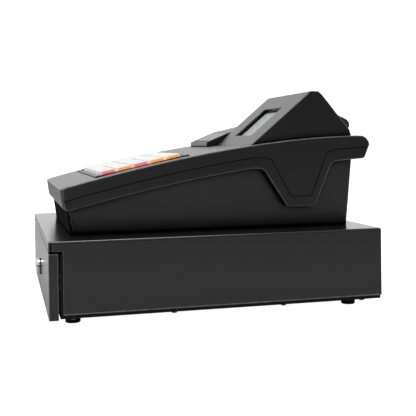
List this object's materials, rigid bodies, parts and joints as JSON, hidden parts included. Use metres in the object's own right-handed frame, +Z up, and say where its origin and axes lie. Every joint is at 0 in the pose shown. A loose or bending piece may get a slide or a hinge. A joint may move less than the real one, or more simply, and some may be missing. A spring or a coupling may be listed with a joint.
{
  "type": "cash register",
  "caption": "Electronic cash register: steel cash drawer cabinet with a sliding drawer, lock and trays, and a plastic keyboard, printer and display unit on top.",
  "frame": {"origin": "on the counter, at the middle of the whole machine's footprint", "axes": "+X to the operator's right, +Y from the operator's side to the customer's side, +Z up"},
  "size_m": [0.41, 0.427, 0.2775],
  "materials": {
    "cabinet_paint": "semi-gloss black powder coat",
    "pan_paint": "matt black paint",
    "foot_rubber": "moulded rubber",
    "screw_steel": "bright zinc plate",
    "slide_steel": "zinc-plated rolled steel",
    "solenoid_steel": "zinc-plated steel with a wound coil",
    "latch_steel": "stamped steel",
    "drawer_paint": "dark grey paint",
    "tray_plastic": "textured black moulding",
    "axle_steel": "ground rod",
    "lock_chrome": "polished chrome plate",
    "lock_brass": "satin nickel plate",
    "case_plastic": "satin black moulding",
    "frame_plastic": "fine-textured black moulding",
    "key_rubber": "silicone rubber",
    "key_white": "satin off-white moulding",
    "key_red": "satin red moulding",
    "key_orange": "satin orange moulding",
    "board_laminate": "green glass-epoxy laminate",
    "display_glass": "grey-green display glass",
    "customer_glass": "smoked brown window",
    "printer_steel": "zinc-plated sheet",
    "platen_rubber": "ground rubber on a steel shaft",
    "paper": "thermal paper",
    "lid_plastic": "satin black moulding",
    "window_plastic": "smoked translucent plastic",
    "transformer_iron": "laminations and a taped winding",
    "gland_rubber": "moulded rubber bush",
    "clip_plastic": "black nylon"
  },
  "bodies": {
    "cabinet": {"cabinet_shell": "cabinet_paint", "base_pan": "pan_paint", "rubber_feet": "foot_rubber", "base_screws": "screw_steel", "outer_slides": "slide_steel", "latch_solenoid": "solenoid_steel", "lower_case": "case_plastic", "top_case": "case_plastic", "keyboard_frame": "frame_plastic", "key_mat": "key_rubber", "circuit_boards": "board_laminate", "display_pod": "case_plastic", "operator_display": "display_glass", "customer_display": "customer_glass", "printer_frame": "printer_steel", "transformer": "transformer_iron", "cord_gland": "gland_rubber"},
    "drawer": {"drawer_box": "drawer_paint", "drawer_front": "cabinet_paint", "inner_slides": "slide_steel", "note_tray": "tray_plastic", "coin_tray": "tray_plastic", "clip_axle": "axle_steel", "lock_housing": "lock_chrome"},
    "lock": {"lock_cylinder": "lock_brass"},
    "latch": {"latch_hook": "latch_steel"},
    "lid": {"printer_lid": "lid_plastic", "lid_window": "window_plastic"},
    "platen": {"platen_roller": "platen_rubber"},
    "roll": {"paper_roll": "paper"},
    "note_clip_1": {"note_clip_1": "clip_plastic"},
    "note_clip_2": {"note_clip_2": "clip_plastic"},
    "note_clip_3": {"note_clip_3": "clip_plastic"},
    "note_clip_4": {"note_clip_4": "clip_plastic"},
    "key_c7_r1": {"key_c7_r1": "key_red"},
    "key_c7_r2": {"key_c7_r2": "key_orange"},
    "key_c7_r3": {"key_c7_r3": "key_red"},
    "key_c7_r4": {"key_c7_r4": "key_orange"},
    "key_c7_r5": {"key_c7_r5": "key_orange"},
    "key_c4_r2": {"key_c4_r2": "key_white"},
    "key_c5_r2": {"key_c5_r2": "key_white"},
    "key_c6_r2": {"key_c6_r2": "key_white"},
    "key_c4_r3": {"key_c4_r3": "key_white"},
    "key_c5_r3": {"key_c5_r3": "key_white"},
    "key_c6_r3": {"key_c6_r3": "key_white"},
    "key_c4_r4": {"key_c4_r4": "key_white"},
    "key_c5_r4": {"key_c5_r4": "key_white"},
    "key_c6_r4": {"key_c6_r4": "key_white"},
    "key_c4_r1": {"key_c4_r1": "key_white"},
    "key_c6_r1": {"key_c6_r1": "key_white"},
    "key_c4_r5": {"key_c4_r5": "key_white"},
    "key_c6_r5": {"key_c6_r5": "key_white"},
    "key_c1_r1": {"key_c1_r1": "key_white"},
    "key_c2_r1": {"key_c2_r1": "key_white"},
    "key_c3_r1": {"key_c3_r1": "key_white"},
    "key_c1_r3": {"key_c1_r3": "key_white"},
    "key_c2_r3": {"key_c2_r3": "key_white"},
    "key_c3_r3": {"key_c3_r3": "key_white"},
    "key_c1_r5": {"key_c1_r5": "key_white"},
    "key_c3_r5": {"key_c3_r5": "key_white"}
  },
  "joints": [
    {"name": "drawer_slide", "type": "slide", "parent": "cabinet", "child": "drawer", "axis": [0, -1, 0], "range_m": [0, 0.28]},
    {"name": "lock_turn", "type": "hinge", "parent": "drawer", "child": "lock", "pos_m": [0, -0.2075, 0.0435], "axis": [0, -1, 0], "range_deg": [0, 90]},
    {"name": "latch_swing", "type": "hinge", "parent": "cabinet", "child": "latch", "pos_m": [0.016, 0.1957, 0.0395], "axis": [0, 0, -1], "range_deg": [0, 25]},
    {"name": "lid_hinge", "type": "hinge", "parent": "cabinet", "child": "lid", "pos_m": [-0.0845, 0.187, 0.22385], "axis": [-1, 0, 0], "range_deg": [0, 75]},
    {"name": "roll_spin", "type": "hinge", "parent": "cabinet", "child": "roll", "pos_m": [-0.0845, 0.122, 0.195], "axis": [1, 0, 0], "continuous": true},
    {"name": "platen_spin", "type": "hinge", "parent": "cabinet", "child": "platen", "pos_m": [-0.0845, 0.062, 0.203], "axis": [1, 0, 0], "continuous": true},
    {"name": "note_clip_1_lift", "type": "hinge", "parent": "drawer", "child": "note_clip_1", "pos_m": [-0.13894, 0.1492, 0.066], "axis": [-1, 0, 0], "range_deg": [0, 30]},
    {"name": "note_clip_2_lift", "type": "hinge", "parent": "drawer", "child": "note_clip_2", "pos_m": [-0.04631, 0.1492, 0.066], "axis": [-1, 0, 0], "range_deg": [0, 30]},
    {"name": "note_clip_3_lift", "type": "hinge", "parent": "drawer", "child": "note_clip_3", "pos_m": [0.04631, 0.1492, 0.066], "axis": [-1, 0, 0], "range_deg": [0, 30]},
    {"name": "note_clip_4_lift", "type": "hinge", "parent": "drawer", "child": "note_clip_4", "pos_m": [0.13894, 0.1492, 0.066], "axis": [-1, 0, 0], "range_deg": [0, 30]},
    {"name": "key_c7_r1_press", "type": "slide", "parent": "cabinet", "child": "key_c7_r1", "axis": [0, 0.2112, -0.9774], "range_m": [0, 0.003], "stiffness_N_per_m": 200, "springref_m": -0.0015},
    {"name": "key_c7_r2_press", "type": "slide", "parent": "cabinet", "child": "key_c7_r2", "axis": [0, 0.2112, -0.9774], "range_m": [0, 0.003], "stiffness_N_per_m": 200, "springref_m": -0.0015},
    {"name": "key_c7_r3_press", "type": "slide", "parent": "cabinet", "child": "key_c7_r3", "axis": [0, 0.2112, -0.9774], "range_m": [0, 0.003], "stiffness_N_per_m": 200, "springref_m": -0.0015},
    {"name": "key_c7_r4_press", "type": "slide", "parent": "cabinet", "child": "key_c7_r4", "axis": [0, 0.2112, -0.9774], "range_m": [0, 0.003], "stiffness_N_per_m": 200, "springref_m": -0.0015},
    {"name": "key_c7_r5_press", "type": "slide", "parent": "cabinet", "child": "key_c7_r5", "axis": [0, 0.2112, -0.9774], "range_m": [0, 0.003], "stiffness_N_per_m": 200, "springref_m": -0.0015},
    {"name": "key_c4_r2_press", "type": "slide", "parent": "cabinet", "child": "key_c4_r2", "axis": [0, 0.2112, -0.9774], "range_m": [0, 0.003], "stiffness_N_per_m": 200, "springref_m": -0.0015},
    {"name": "key_c5_r2_press", "type": "slide", "parent": "cabinet", "child": "key_c5_r2", "axis": [0, 0.2112, -0.9774], "range_m": [0, 0.003], "stiffness_N_per_m": 200, "springref_m": -0.0015},
    {"name": "key_c6_r2_press", "type": "slide", "parent": "cabinet", "child": "key_c6_r2", "axis": [0, 0.2112, -0.9774], "range_m": [0, 0.003], "stiffness_N_per_m": 200, "springref_m": -0.0015},
    {"name": "key_c4_r3_press", "type": "slide", "parent": "cabinet", "child": "key_c4_r3", "axis": [0, 0.2112, -0.9774], "range_m": [0, 0.003], "stiffness_N_per_m": 200, "springref_m": -0.0015},
    {"name": "key_c5_r3_press", "type": "slide", "parent": "cabinet", "child": "key_c5_r3", "axis": [0, 0.2112, -0.9774], "range_m": [0, 0.003], "stiffness_N_per_m": 200, "springref_m": -0.0015},
    {"name": "key_c6_r3_press", "type": "slide", "parent": "cabinet", "child": "key_c6_r3", "axis": [0, 0.2112, -0.9774], "range_m": [0, 0.003], "stiffness_N_per_m": 200, "springref_m": -0.0015},
    {"name": "key_c4_r4_press", "type": "slide", "parent": "cabinet", "child": "key_c4_r4", "axis": [0, 0.2112, -0.9774], "range_m": [0, 0.003], "stiffness_N_per_m": 200, "springref_m": -0.0015},
    {"name": "key_c5_r4_press", "type": "slide", "parent": "cabinet", "child": "key_c5_r4", "axis": [0, 0.2112, -0.9774], "range_m": [0, 0.003], "stiffness_N_per_m": 200, "springref_m": -0.0015},
    {"name": "key_c6_r4_press", "type": "slide", "parent": "cabinet", "child": "key_c6_r4", "axis": [0, 0.2112, -0.9774], "range_m": [0, 0.003], "stiffness_N_per_m": 200, "springref_m": -0.0015},
    {"name": "key_c4_r1_press", "type": "slide", "parent": "cabinet", "child": "key_c4_r1", "axis": [0, 0.2112, -0.9774], "range_m": [0, 0.003], "stiffness_N_per_m": 200, "springref_m": -0.0015},
    {"name": "key_c6_r1_press", "type": "slide", "parent": "cabinet", "child": "key_c6_r1", "axis": [0, 0.2112, -0.9774], "range_m": [0, 0.003], "stiffness_N_per_m": 200, "springref_m": -0.0015},
    {"name": "key_c4_r5_press", "type": "slide", "parent": "cabinet", "child": "key_c4_r5", "axis": [0, 0.2112, -0.9774], "range_m": [0, 0.003], "stiffness_N_per_m": 200, "springref_m": -0.0015},
    {"name": "key_c6_r5_press", "type": "slide", "parent": "cabinet", "child": "key_c6_r5", "axis": [0, 0.2112, -0.9774], "range_m": [0, 0.003], "stiffness_N_per_m": 200, "springref_m": -0.0015},
    {"name": "key_c1_r1_press", "type": "slide", "parent": "cabinet", "child": "key_c1_r1", "axis": [0, 0.2112, -0.9774], "range_m": [0, 0.003], "stiffness_N_per_m": 200, "springref_m": -0.0015},
    {"name": "key_c2_r1_press", "type": "slide", "parent": "cabinet", "child": "key_c2_r1", "axis": [0, 0.2112, -0.9774], "range_m": [0, 0.003], "stiffness_N_per_m": 200, "springref_m": -0.0015},
    {"name": "key_c3_r1_press", "type": "slide", "parent": "cabinet", "child": "key_c3_r1", "axis": [0, 0.2112, -0.9774], "range_m": [0, 0.003], "stiffness_N_per_m": 200, "springref_m": -0.0015},
    {"name": "key_c1_r3_press", "type": "slide", "parent": "cabinet", "child": "key_c1_r3", "axis": [0, 0.2112, -0.9774], "range_m": [0, 0.003], "stiffness_N_per_m": 200, "springref_m": -0.0015},
    {"name": "key_c2_r3_press", "type": "slide", "parent": "cabinet", "child": "key_c2_r3", "axis": [0, 0.2112, -0.9774], "range_m": [0, 0.003], "stiffness_N_per_m": 200, "springref_m": -0.0015},
    {"name": "key_c3_r3_press", "type": "slide", "parent": "cabinet", "child": "key_c3_r3", "axis": [0, 0.2112, -0.9774], "range_m": [0, 0.003], "stiffness_N_per_m": 200, "springref_m": -0.0015},
    {"name": "key_c1_r5_press", "type": "slide", "parent": "cabinet", "child": "key_c1_r5", "axis": [0, 0.2112, -0.9774], "range_m": [0, 0.003], "stiffness_N_per_m": 200, "springref_m": -0.0015},
    {"name": "key_c3_r5_press", "type": "slide", "parent": "cabinet", "child": "key_c3_r5", "axis": [0, 0.2112, -0.9774], "range_m": [0, 0.003], "stiffness_N_per_m": 200, "springref_m": -0.0015}
  ]
}
